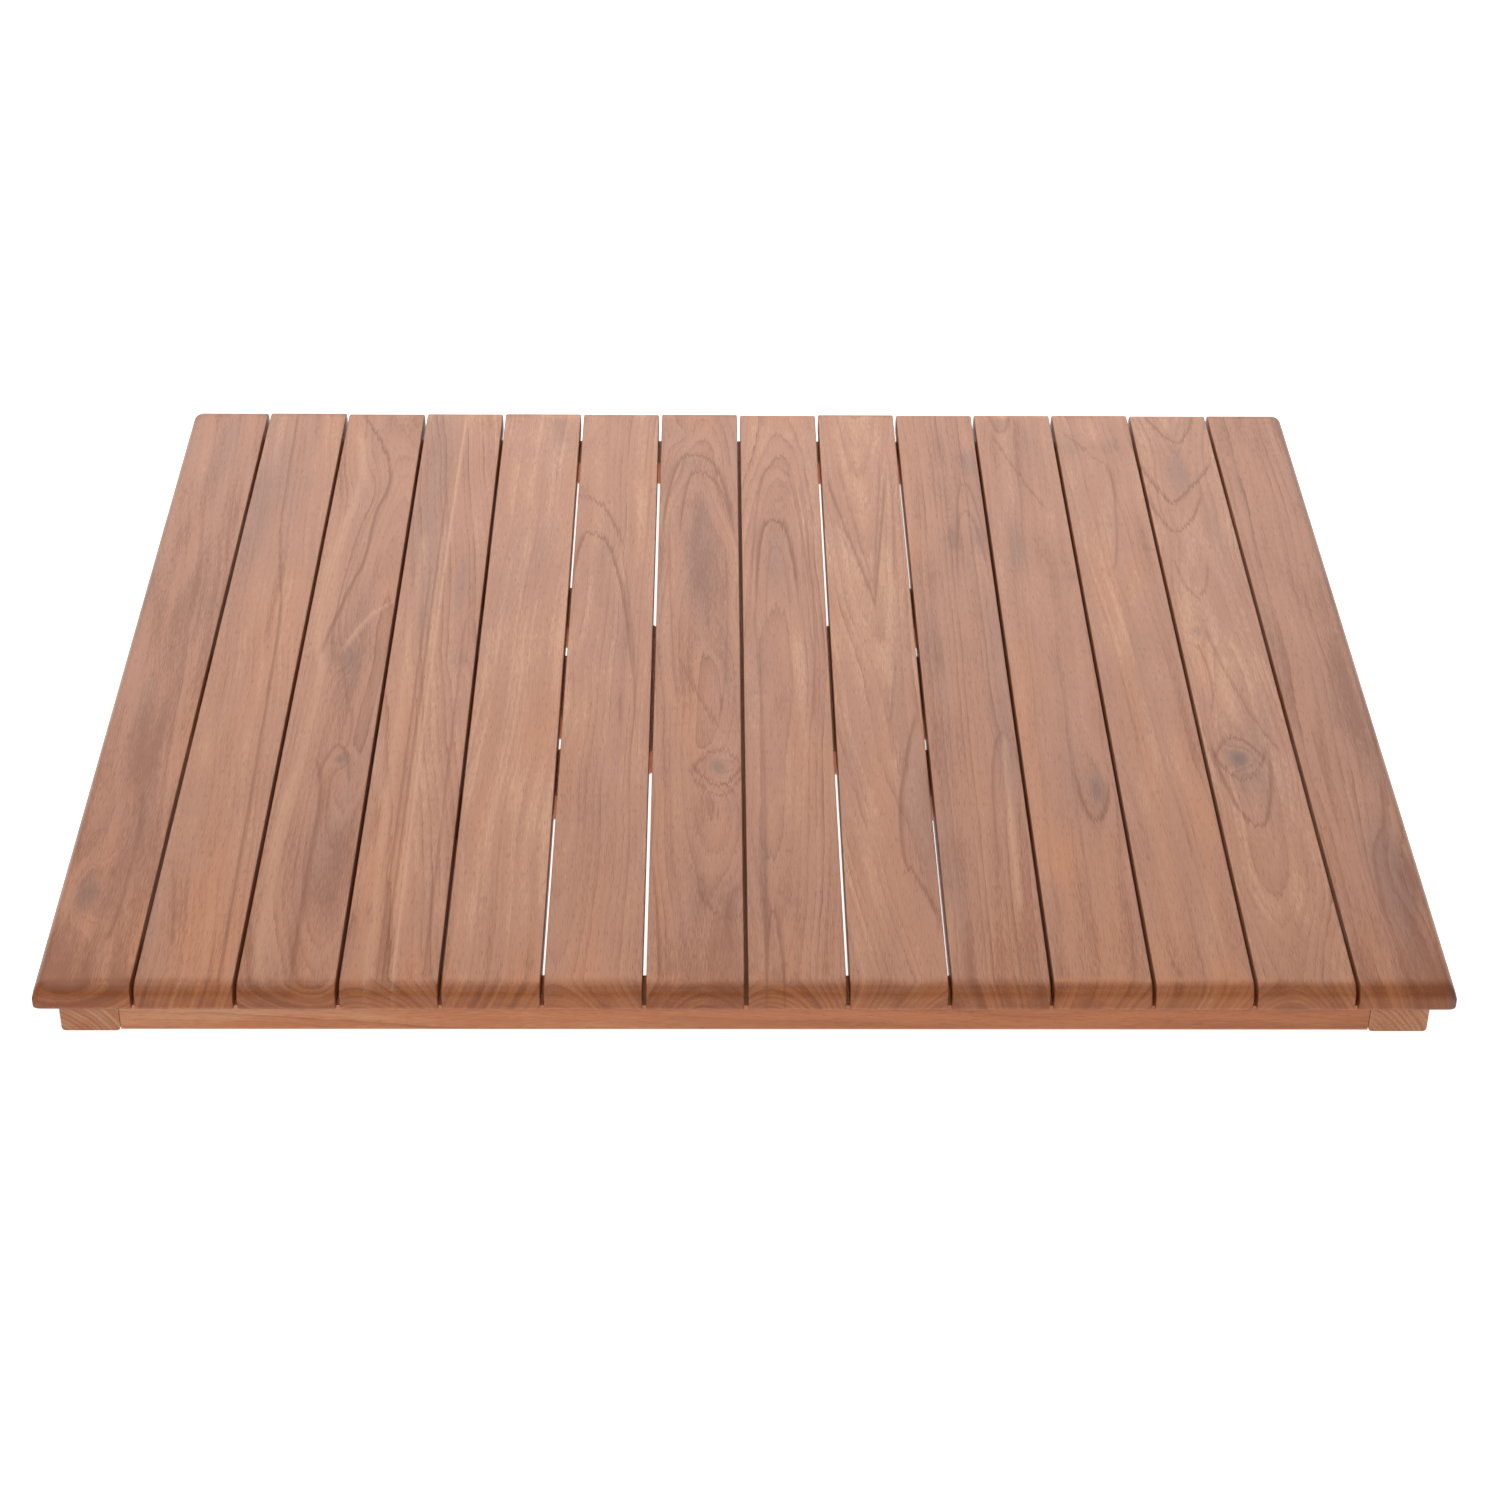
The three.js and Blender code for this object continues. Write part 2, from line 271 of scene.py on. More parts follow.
def make_world():
    """A world that lights weakly but is white to look at: strength 1 for camera rays only."""
    world = bpy.data.worlds.new("studio_world")
    world.use_nodes = True
    background = world.node_tree.nodes["Background"]
    background.inputs["Color"].default_value = (1, 1, 1, 1)
    seen = world.node_tree.nodes.new("ShaderNodeLightPath").outputs["Is Camera Ray"]
    strength = world.node_tree.nodes.new("ShaderNodeMath")
    strength.operation = "MULTIPLY_ADD"
    world.node_tree.links.new(seen, strength.inputs[0])
    strength.inputs[1].default_value = 1.0 - WORLD_STRENGTH
    strength.inputs[2].default_value = WORLD_STRENGTH
    world.node_tree.links.new(strength.outputs[0], background.inputs["Strength"])
    bpy.context.scene.world = world


make_world()
bpy.context.scene.view_settings.view_transform = "Standard"
print("world strength", WORLD_STRENGTH)

# %% Soft lights
def soft_light(name, size, place, target, power):
    """A rectangular soft light at one place, turned to face another."""
    data = bpy.data.lights.new(name, "AREA")
    data.shape = "RECTANGLE"
    data.size, data.size_y = size
    data.energy = power
    light = bpy.data.objects.new(name, data)
    light.visible_camera = False
    aim = np.array(target, float) - np.array(place, float)
    forward = aim / np.linalg.norm(aim)
    right = np.cross(forward, (0.0, 0.0, 1.0))
    right /= np.linalg.norm(right)
    stand_at(light, right, np.cross(right, forward), forward, place)
    print(name, "at", place, "power", power)


soft_light("back_softbox", (2.2, 0.66), (0.0, 1.05, 0.50), (0.0, 0.1, 0.1), 9.5)
soft_light("top_softbox", (2.4, 1.4), (-0.3, 0.3, 2.1), (0.0, 0.0, 0.0), 31)
soft_light("front_softbox", (2.0, 0.8), (-0.2, -1.5, 1.6), (0.0, -0.3, 0.0), 11)

# %% [markdown]
# ## Slat shape
# A real slat is a planed board whose edges are rounded with a router bit: a big round nose over
# both ends, small eased corners everywhere else. The two outer slats have the big nose along their
# outer edge too. It could be a box with a Bevel modifier, but a bevel has one width everywhere.
# Here the side view of the slat, a closed loop with its noses, is carried across the width, and
# near each long edge the loop shrinks by a quarter circle. That gives each edge its own radius.

# %% Slat sizes
NOSE_TOP = 7.0
NOSE_BOTTOM = 3.0
EASED_EDGE = 0.8
SIDE_SWELL = 0.15
LOWER_EDGE = 0.6
PLAN_CORNER = 1.2
SLAT_COUNT = 14
BACK_SHORTFALL = (0.3, 0.0, 0.9, 0.4, 0.0, 0.5, 0.2, 1.0, 0.0, 0.6, 0.3, 0.0, 0.5, 0.2)
RUN_STEP = 2.4
CROSS_STEP = 1.0


def quarter_drop(distance, radius):
    """How far a quarter circle has fallen, at a distance in from the edge it ends on."""
    inside = np.clip(radius - distance, 0.0, radius)
    return radius - np.sqrt(np.maximum(radius**2 - inside**2, 0.0))


def edge_steps(radius, count):
    """Distances in from an edge, crowded towards it as equal steps of angle round the arc."""
    return radius * (1.0 - np.cos(np.linspace(0.0, math.pi / 2, count)))


# %% Slat surface
def side_loop(x, width, radii, y_ends, z_ends):
    """The side view of a slat as a closed loop, one column for each x across it.

    Along the top the height is the top less the fall of the edge rounding at that x. Each end is
    a quarter ellipse about a fixed centre: its radii are the nose less the pull of the plan
    corner, and the nose less the edge's fall. The bottom half is the same with smaller radii.
    """
    left, right, bottom_left, bottom_right = radii
    top_fall = quarter_drop(x, left) + quarter_drop(width - x, right)
    bottom_fall = quarter_drop(x, bottom_left) + quarter_drop(width - x, bottom_right)
    pull = quarter_drop(x, PLAN_CORNER) + quarter_drop(width - x, PLAN_CORNER)
    (y_front, y_back), (z_low, z_high) = y_ends, z_ends
    arc = np.linspace(0.0, math.pi / 2, 9)[:, None]

    def half(nose, fall, z_edge, z_sign):
        """From the middle of the back end, over one face, to the middle of the front end."""
        run = np.linspace(y_back - nose, y_front + nose, int((y_back - y_front) / RUN_STEP))[1:-1, None]
        z_centre = z_edge - z_sign * nose
        z_arc = z_centre + z_sign * (nose - fall) * np.sin(arc)
        back = y_back - nose + (nose - pull) * np.cos(arc)
        front = y_front + nose - (nose - pull) * np.cos(arc[::-1])
        y = np.concatenate([back, run + 0 * x, front])
        z = np.concatenate([z_arc, z_centre + z_sign * (nose - fall) + 0 * run, z_arc[::-1]])
        return y, z

    y_top, z_top = half(NOSE_TOP, top_fall, z_high, 1.0)
    y_low, z_low_half = half(NOSE_BOTTOM, bottom_fall, z_low, -1.0)
    y = np.concatenate([y_top, y_low[::-1]])
    z = np.concatenate([z_top, z_low_half[::-1]])
    return np.stack([np.broadcast_to(x, y.shape), y, z], axis=-1)


def closed_tube_faces(rows, columns):
    """Quads of a grid that is closed round its rows, with a ladder of quads over both open sides."""
    row, column = np.meshgrid(np.arange(rows), np.arange(columns - 1), indexing="ij")
    below = (row + 1) % rows
    skin = np.stack([row * columns + column, below * columns + column,
                     below * columns + column + 1, row * columns + column + 1], axis=-1).reshape(-1, 4)
    step = np.arange(rows // 2 - 1)
    mirror = rows - 1 - step
    rung = np.stack([step, mirror, mirror - 1, step + 1], axis=-1) * columns
    far = rung[:, ::-1] + columns - 1
    return np.concatenate([skin, rung, far])


def mesh_object(name, points, faces, smooth=True):
    """A mesh object in metres, at the origin, from points in millimetres."""
    mesh = bpy.data.meshes.new(name)
    mesh.from_pydata((points * MM).tolist(), [], faces.tolist())
    mesh.polygons.foreach_set("use_smooth", np.full(len(mesh.polygons), smooth))
    mesh.update()
    made = bpy.data.objects.new(name, mesh)
    bpy.context.scene.collection.objects.link(made)
    return made


def slat_points(number):
    """Grid of points of one slat and its two corners: its CAD node's box, a little swollen sideways."""
    low, high = (np.array(corner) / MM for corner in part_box(f"slat_{number}"))
    low[0] -= SIDE_SWELL if number > 1 else 0.0
    high[0] += SIDE_SWELL if number < SLAT_COUNT else 0.0
    width = high[0] - low[0]
    left = NOSE_TOP if number == 1 else EASED_EDGE
    right = NOSE_TOP if number == SLAT_COUNT else EASED_EDGE
    lower_left = NOSE_BOTTOM if number == 1 else LOWER_EDGE
    lower_right = NOSE_BOTTOM if number == SLAT_COUNT else LOWER_EDGE
    radii = (left, right, lower_left, lower_right)
    middle = np.linspace(left, width - right, int((width - left - right) / CROSS_STEP))
    x = np.concatenate([edge_steps(left, 8)[:-1], middle, width - edge_steps(right, 8)[::-1][1:]])
    ends = (low[1], high[1] - BACK_SHORTFALL[number - 1])
    grid = side_loop(x, width, radii, ends, (low[2], high[2]))
    grid[..., 0] += low[0]
    return grid, low, high


# %% [markdown]
# ## Grain of a board
# A board is cut from a tree whose growth rings are nested cones round the pith. Where the cut
# runs near the pith's line, its face shows arches; where it runs far from it, straight stripes;
# and both ends show the same rings as arcs. So every slat gets a ring count: the distance of
# each point from a leaning pith line, divided by the ring spacing. A knot pushes rings around
# itself, so it adds a smooth hill to the count. The count is stored on the mesh, and the material
# turns it into fine lines, so faces, edges and ends always agree.

# %% Ring count
def ripple(x, y, seed, reach_x, reach_y):
    """Smooth random waves between about -1 and 1: a sum of sines of random direction and phase."""
    rng = np.random.default_rng(seed)
    total = np.zeros_like(x)
    for turn in range(6):
        a, b = rng.normal(size=2)
        total += np.sin(2 * math.pi * (a * x / reach_x + b * y / reach_y) * 0.8 + rng.uniform(0, 6.3))
    return total / 3.0


def ring_count(x, y, z, board, seed):
    """Rings from the pith to each point: x and z in from the slat's left edge and top, y along it."""
    stations = np.array(board["pith"], float)
    order = min(len(stations) - 1, 3)
    pith_x = np.polyval(np.polyfit(stations[:, 0], stations[:, 1], order), y)
    pith_z = -np.polyval(np.polyfit(stations[:, 0], stations[:, 2], order), y)
    wander = board.get("wander", 1.0)
    dx = x - pith_x + wander * 1.6 * ripple(x, y, seed, 90.0, 210.0)
    dz = z - pith_z + wander * 0.9 * ripple(x, y, seed + 50, 60.0, 130.0)
    rings = np.hypot(dx, dz) / board["spacing"]
    for knot_x, knot_y, reach_x, reach_y, push, _ in board.get("knots", ()):
        hill = ((x - knot_x) / reach_x) ** 2 + ((y - knot_y) / reach_y) ** 2
        rings = rings + push * np.exp(-hill - 0.02 * z**2)
    return rings


def blotches(x, y, spots, column):
    """Sum of soft oval patches: each has a centre, two reaches and its amount in the given column."""
    total = np.zeros_like(x)
    for spot in spots:
        total += spot[column] * np.exp(-((x - spot[0]) / spot[2]) ** 2 - ((y - spot[1]) / spot[3]) ** 2)
    return total


# %% [markdown]
# ## The fourteen boards
# No two boards of a real mat match, so each has its own entry. Distances are millimetres from
# the board's left edge and along the mat, positive towards the back.
#
# - pith: stations of the pith line, as distance along, place across, and depth below the top
# - spacing: thickness of one year's ring
# - lines: how bold the ring lines are on the faces; tone: how light the whole board is
# - wander: how far the rings stray from even curves, 1 where it isn't given
# - arris highlight: how strong the painted highlight is where the nose starts; below zero, a darker line
#   instead
# - knots: place, reach across and along, push on the rings, darkness of the core
# - patches: place, reach across and along, warmth (orange to mauve), lightness
# - veins: thin dark lines that cross the figure (pale where the strength is negative)
# - arches: one ring line each, peak place, left and right half width, drop, power, width, strength

# %% Boards 1 to 7
BOARDS = [
    # Board 1
    {
        "pith": [(300, -20, -34), (-300, 14, -30)],
        "spacing": 3.4, "lines": 0.45, "tone": -0.24, "arris": -0.7,
        "knots": [
            (17, -222, 11, 26, 2.6, 0.55), (0.5, -268, 4, 7, 0.0, 0.7), (1.0, -290, 4, 5, 0.0, 0.5),
        ],
        "patches": [
            (38, 60, 16, 60, -0.7, -0.1), (26, -150, 8, 160, -0.2, -0.2), (24, 240, 30, 60, -0.3, 0.05),
        ],
        "veins": [
            (1.2, 0.5, [(30, -130), (34, -200), (32, -255), (21, -262)]),
        ],
    },
    # Board 2
    {
        "pith": [(300, 150, 60), (-300, 175, 60)],
        "spacing": 3.0, "lines": 0.4, "tone": -0.02, "arris": -0.3,
        "patches": [(6, 150, 14, 90, -0.8, -0.03), (40, 0, 12, 250, 0.45, 0.1)],
        "veins": [
            (0.9, 0.6, [(17, 296), (19, 233), (22, 153), (29, 87), (33, 47), (36, -50), (38, -133),
                        (41, -296)]),
            (0.9, 0.35, [(5, -193), (10, -230), (15, -267)]),
        ],
    },
    # Board 3
    {
        "pith": [(300, 30, -24), (80, 44, -10), (-60, 40, -9), (-300, 34, -26)],
        "spacing": 2.6, "lines": 0.85, "tone": -0.12, "arris": 0.1, "wander": 1.8,
        "knots": [(28, 2, 9, 22, 3.0, 0.3), (33, -100, 6, 9, 3.0, 0.6), (22, 190, 12, 30, 1.6, 0.05)],
        "patches": [
            (30, 0, 12, 60, -0.8, -0.08), (38, -200, 14, 80, -0.6, -0.16), (9, 100, 7, 200, 0.4, 0.22),
        ],
        "veins": [
            (1.1, 0.75, [(10, 290), (23, 257), (31, 227), (33, 207), (28, 167), (26, 113), (21, 83),
                         (15, 43), (10, 7)]),
            (1.3, 0.6, [(15, -100), (25, -143), (25, -183), (26, -296)]),
            (1.6, -0.6, [(46, 62), (33, 43), (23, 12)]),
            (3.4, -0.5, [(8, 265), (15, 212), (9, 141), (5, 71), (8, 18), (13, -18), (12, -88),
                         (6, -159), (9, -290)]),
            (0.9, 0.45, [(23, -3), (30, -40), (35, -77), (33, -90)]),
        ],
        "arches": [(30, -88, 8, 8, 26, 2.0, 1.1, 0.55)],
    },
    # Board 4
    {
        "pith": [(300, -40, 34), (-300, 10, 30)],
        "spacing": 3.2, "lines": 1.0, "tone": 0.03, "arris": 0.35,
        "knots": [(39, 0, 6, 14, 1.2, 0.25)],
        "patches": [
            (12, 200, 18, 120, -0.7, -0.06), (35, 85, 4, 36, -0.9, -0.1),
            (26, -150, 12, 160, 0.3, 0.12), (35, -285, 5, 12, 0.9, -0.2),
        ],
        "veins": [
            (2.4, -0.45, [(9, 140), (10, -100), (13, -296)]),
            (0.9, -0.75, [(25, 290), (24, 0), (26, -296)]),
            (0.8, 0.5, [(16, 100), (18, -296)]),
            (0.7, 0.45, [(19, 200), (21, -296)]),
            (0.8, -0.45, [(21, 150), (23, -250)]),
            (0.8, 0.45, [(40, 40), (41, -296)]),
        ],
    },
    # Board 5
    {
        "pith": [(300, 190, 80), (-300, 170, 80)],
        "spacing": 2.6, "lines": 0.38, "tone": 0.14, "arris": 0.9,
        "patches": [(24, 260, 26, 80, -0.55, 0.06), (24, -100, 30, 200, 0.2, 0.05)],
    },
    # Board 6
    {
        "pith": [(300, 8, 22), (90, 0, 14), (-300, 4, 28)],
        "spacing": 3.0, "lines": 0.7, "tone": 0.06, "arris": 0.4,
        "patches": [(19, -160, 8, 55, -0.2, -0.26), (40, 100, 12, 160, 0.2, 0.08)],
        "veins": [
            (0.9, 0.4, [(31, -35), (32, -65)]),
            (0.8, 0.4, [(29, 120), (34, 60), (38, 0), (40, -60)]),
        ],
        "arches": [(2, 188, 8, 24, 45, 2.2, 1.0, 0.65), (8, 143, 10, 26, 110, 2.6, 1.1, 0.75)],
    },
    # Board 7
    {
        "pith": [(300, 22, 31), (100, 25, 15), (-60, 30, 10), (-300, 30, 22)],
        "spacing": 3.1, "lines": 0.85, "tone": -0.15, "arris": 0.4, "wander": 1.3,
        "knots": [
            (35, -107, 9, 14, 3.4, 0.52), (13, 266, 9, 14, 1.4, 0.1), (42, -235, 12, 26, 1.8, 0.12),
        ],
        "patches": [
            (26, 130, 9, 70, -0.9, -0.16), (37, -225, 10, 30, -0.8, -0.1), (8, 60, 8, 120, 0.3, 0.1),
            (22, 228, 7, 14, -0.7, -0.05),
        ],
        "veins": [
            (1.1, 0.5, [(14, 0), (28, -47), (36, -67)]),
            (0.8, 0.35, [(6, 165), (8, 60), (12, -35)]),
            (0.8, 0.35, [(40, 120), (41, 40), (37, -60)]),
        ],
        "arches": [
            (20, 241, 16, 23, 68, 3.0, 1.2, 0.75), (23, 218, 9, 19, 48, 2.6, 1.0, 0.65),
            (36, -92, 13, 13, 15, 2.0, 0.9, 0.6), (36, -124, 13, 12, -16, 2.0, 1.0, 0.7),
            (36, -134, 14, 12, -18, 2.0, 0.9, 0.5), (42, -243, 14, 10, -16, 2.0, 1.0, 0.5),
        ],
    },
]
print(len(BOARDS), "boards described")

# %% Boards 8 to 14
BOARDS += [
    # Board 8
    {
        "pith": [(300, 24, 30), (100, 20, 17), (-300, 12, 22)],
        "spacing": 2.9, "lines": 1.0, "tone": 0.0, "arris": 0.2,
        "patches": [
            (20, 120, 9, 70, -0.7, -0.08), (9, -185, 2.5, 55, -1.0, -0.34), (34, 20, 10, 200, 0.2, 0.1),
        ],
        "veins": [
            (0.8, 0.4, [(36, 200), (40, 120), (41, 40), (38, -60)]),
            (0.8, 0.3, [(6, 60), (10, -100), (8, -296)]),
        ],
        "arches": [
            (19, 158, 10, 12, 58, 3.2, 1.3, 0.85), (21, 226, 15, 17, 120, 3.0, 0.9, 0.45),
            (13, -235, 4, 5, 62, 2.0, 1.0, 0.6), (20, 128, 6, 7, 60, 3.0, 0.8, 0.3),
        ],
    },
    # Board 9
    {
        "pith": [(300, 24, 10), (60, 26, 24), (-300, 60, 30)],
        "spacing": 2.9, "lines": 0.75, "tone": 0.16, "arris": 0.3,
        "patches": [(26, 150, 8, 60, 0.1, 0.12), (42, -150, 9, 80, -0.2, -0.12)],
        "veins": [
            (1.1, 0.65, [(44, -60), (37, -100), (31, -167), (32, -193), (37, -207), (46, -240)]),
            (0.8, 0.35, [(36, 0), (30, -65)]),
            (0.9, 0.4, [(43, 240), (42, 160), (39, 90)]),
        ],
        "arches": [(27, 62, 21, 11, -128, 1.0, 1.1, 0.65), (27, 84, 15, 9, -128, 1.1, 0.8, 0.4)],
    },
    # Board 10
    {
        "pith": [(300, -30, 20), (-300, -34, 24)],
        "spacing": 3.2, "lines": 0.8, "tone": -0.08, "arris": 0.15,
        "knots": [(42, -105, 10, 45, -1.6, 0.02)],
        "patches": [
            (42, 233, 5, 14, -1.0, -0.12), (27, 137, 3, 12, -0.9, -0.12), (42, 140, 4, 14, -0.9, -0.14),
            (10, 0, 7, 300, 0.0, -0.12), (41, -90, 6, 50, -0.7, -0.06),
        ],
        "veins": [
            (1.1, 0.5, [(46, -70), (34, -100), (31, -150), (30, -200)]),
            (1.4, -0.6, [(41, -80), (39, -160), (38, -230)]),
        ],
        "arches": [(38, 205, 7, 7, 50, 2.4, 0.9, 0.5), (36, 170, 8, 9, 60, 2.4, 0.9, 0.5)],
    },
    # Board 11
    {
        "pith": [(300, 80, 30), (-300, 66, 26)],
        "spacing": 3.6, "lines": 0.45, "tone": -0.04, "arris": 1.0,
        "knots": [(38, -128, 6, 26, 2.2, 0.45), (15, 284, 7, 12, 1.6, 0.2), (45, 93, 6, 12, 1.2, 0.3)],
        "patches": [
            (15, 130, 5, 26, -0.9, -0.08), (12, -185, 12, 34, 1.1, 0.04),
            (30, 230, 16, 70, -0.6, -0.06), (38, -128, 7, 30, -0.8, -0.05),
        ],
        "veins": [
            (0.9, 0.5, [(10, 267), (21, 223), (35, 177)]),
        ],
        "arches": [(16, 272, 7, 7, -22, 2.0, 1.6, 0.5), (34, -157, 6, 9, -22, 2.2, 1.3, 0.7)],
    },
    # Board 12
    {
        "pith": [(300, 70, 40), (-300, 96, 40)],
        "spacing": 3.2, "lines": 0.5, "tone": 0.07, "arris": 0.6,
        "patches": [
            (24, 252, 30, 10, -0.2, -0.22), (18, 0, 4, 250, 0.6, 0.12), (42, 0, 6, 250, 0.0, -0.14),
            (38, -292, 8, 16, 1.3, 0.14),
        ],
        "veins": [
            (0.9, 0.45, [(6, 270), (21, 240), (30, 217), (28, 167), (20, 100)]),
        ],
    },
    # Board 13
    {
        "pith": [(300, 26, 9), (120, 22, 19), (-60, 24, 13), (-300, 16, 26)],
        "spacing": 2.9, "lines": 0.8, "tone": 0.18, "arris": 0.9, "wander": 1.5,
        "knots": [(17, -98, 8, 12, 3.0, 0.85), (10, 33, 5, 8, 1.4, 0.4)],
        "patches": [
            (10, -8, 7, 28, 0.9, 0.2), (19, -110, 13, 36, -0.7, -0.04), (22, 215, 10, 26, -0.8, -0.05),
            (30, 120, 14, 60, -0.3, 0.02),
        ],
        "veins": [
            (0.9, 0.45, [(16, 33), (23, -20), (41, -93)]),
            (0.9, 0.5, [(4, 20), (12, -10), (9, -50)]),
        ],
        "arches": [
            (27, 258, 16, 12, -30, 1.6, 1.1, 0.6), (14, 180, 13, 26, -42, 1.2, 1.2, 0.7),
            (12, 147, 11, 19, -34, 1.8, 1.1, 0.6), (16, 70, 8, 10, -30, 2.0, 0.9, 0.45),
            (17, -78, 12, 13, 18, 2.0, 1.0, 0.6), (17, -118, 12, 14, -20, 2.0, 1.0, 0.6),
            (19, -161, 14, 14, -50, 2.2, 1.2, 0.65),
        ],
    },
    # Board 14
    {
        "pith": [(300, -20, 36), (-300, -34, 26)],
        "spacing": 4.4, "lines": 0.95, "tone": -0.17, "arris": -0.6,
        "knots": [(32, -205, 13, 44, 1.8, 0.1), (46.5, -298, 5, 7, 0.0, 0.7)],
        "patches": [
            (38, -40, 6, 120, -0.3, -0.3), (33, -215, 9, 48, -1.0, -0.08),
            (41, -203, 1.6, 18, -0.6, -0.5), (14, 0, 9, 300, 0.2, 0.12),
        ],
        "veins": [
            (0.9, 0.4, [(11, -67), (11, -167)]),
            (1.2, 0.5, [(22, -240), (25, -190), (36, -155), (40, -120)]),
        ],
    },
]
print(len(BOARDS), "boards described")

# %% [markdown]
# ## Teak
# Fresh, unoiled teak is a pinkish brown. Each ring starts with a porous pale band, deepens
# slowly, and ends in a thin dark line whose edge is jagged, because it follows the long pores.
# Over that lie broad drifts from mauve to orange, short dark pores, and fine fibre. The nodes
# build these in that order, all from the point in the wood, so a cut face shows what a real cut
# would. The end grain drinks light, so it comes out deeper and browner than the faces.

# %% Teak colours
RING_PROFILE = [(0.0, 1.0), (0.06, 0.30), (0.16, 0.0), (0.50, 0.16), (0.82, 0.50), (1.0, 1.0)]
SLAT_TEAK = {
    "mid": (0.470, 0.220, 0.132, 1.0),
    "line": (0.215, 0.062, 0.020, 1.0),
    "pale": (0.640, 0.345, 0.212, 1.0),
    "mauve": (0.365, 0.188, 0.134, 1.0),
    "orange": (0.550, 0.236, 0.118, 1.0),
    "knot": (0.170, 0.110, 0.096, 1.0),
    "end": (0.790, 0.585, 0.370, 1.0),
}
print("slat teak:", ", ".join(SLAT_TEAK))

# %% Teak patterns
# The size of each pattern's blobs in millimetres: across, along and through the board.
JAG_SIZE = (1.9, 48.0, 1.9)
BOLD_SIZE = (9.0, 70.0, 9.0)
SHAKE_SIZE = (1.3, 34.0, 1.3)
DRIFT_SIZE = (22.0, 170.0, 22.0)
CLOUD_SIZE = (11.0, 80.0, 11.0)
FIBRE_SIZE = (0.7, 9.0, 0.7)
PORE_SIZE = (0.5, 7.5, 0.5)
DEFAULT_JAG = 0.8
END_LINES = 0.7
LINE_DEPTH = 0.92
DRAWN_DEPTH = 0.85
PORE_DEPTH = 0.46
BUMP_HEIGHT = 0.00012
CURVE_LENGTH = 640.0
CURVE_WIDTH = 48.0
VEIN_FADE = 8.0
SWITCH = 0.01
print("fibres", FIBRE_SIZE, "mm, pores", PORE_SIZE, "mm")


# %% Thin lines in the grain
def bell(bench, aside, width):
    """A bell curve of a distance: 1 on the line; it falls off twice as slowly on the far side."""
    slow = bench.rise(aside, -SWITCH, SWITCH, 1.3, 0.7)
    ratio = bench.math("MULTIPLY", bench.math("MULTIPLY", aside, slow), 1.0 / width)
    square = bench.math("MULTIPLY", ratio, ratio)
    return bench.math("POWER", 2.718, bench.math("MULTIPLY", square, -1.0))


def vein_mask(bench, across, along, width, path):
    """A thin line through places across and along the board, faded out beyond its two ends.

    The distance is the place across less the path's place at that distance along. A curve node
    holds the path, with CURVE_LENGTH and CURVE_WIDTH as its 0 to 1 in both directions.
    """
    path = sorted((y, x) for x, y in path)
    share = bench.math("MULTIPLY_ADD", along, 1.0 / CURVE_LENGTH, 0.5)
    curve = bench.node("ShaderNodeFloatCurve", {"Value": share})
    points = curve.mapping.curves[0].points
    while len(points) < len(path):
        points.new(0.5, 0.5)
    for place, (y, x) in zip(points, path):
        place.location = (y / CURVE_LENGTH + 0.5, x / CURVE_WIDTH)
    curve.mapping.update()
    aside = bench.math("MULTIPLY_ADD", curve.outputs[0], -CURVE_WIDTH, across)
    first, last = path[0][0], path[-1][0]
    fade = bench.math("MULTIPLY", bench.rise(along, first - VEIN_FADE, first + VEIN_FADE),
                      bench.rise(along, last - VEIN_FADE, last + VEIN_FADE, 1.0, 0.0))
    return bench.math("MULTIPLY", bell(bench, aside, width), fade)


def arch_mask(bench, across, along, arch):
    """One ring line that arches over the board, as the cone of a year's growth is cut.

    Its height along is the peak less drop times (distance from the middle / half width) to a
    power. The gap to that curve, divided by the curve's steepness, is the distance to the line.
    """
    middle, peak, left, right, drop, power, width, _ = arch
    aside = bench.math("SUBTRACT", across, middle)
    half = bench.rise(aside, -SWITCH, SWITCH, 1.0 / left, 1.0 / right)
    reach = bench.math("MAXIMUM", bench.math("ABSOLUTE", bench.math("MULTIPLY", aside, half)), 0.001)
    fall = bench.math("MULTIPLY", bench.math("POWER", reach, power), drop)
    gap = bench.math("SUBTRACT", bench.math("ADD", along, fall), peak)
    slope = bench.math("MULTIPLY", bench.math("POWER", reach, power - 1.0), half)
    slope = bench.math("MULTIPLY", slope, drop * power)
    steep = bench.math("SQRT", bench.math("MULTIPLY_ADD", slope, slope, 1.0))
    line = bell(bench, bench.math("DIVIDE", gap, steep), width)
    return bench.math("MULTIPLY", line, bench.rise(reach, 1.0, 1.25, 1.0, 0.0))


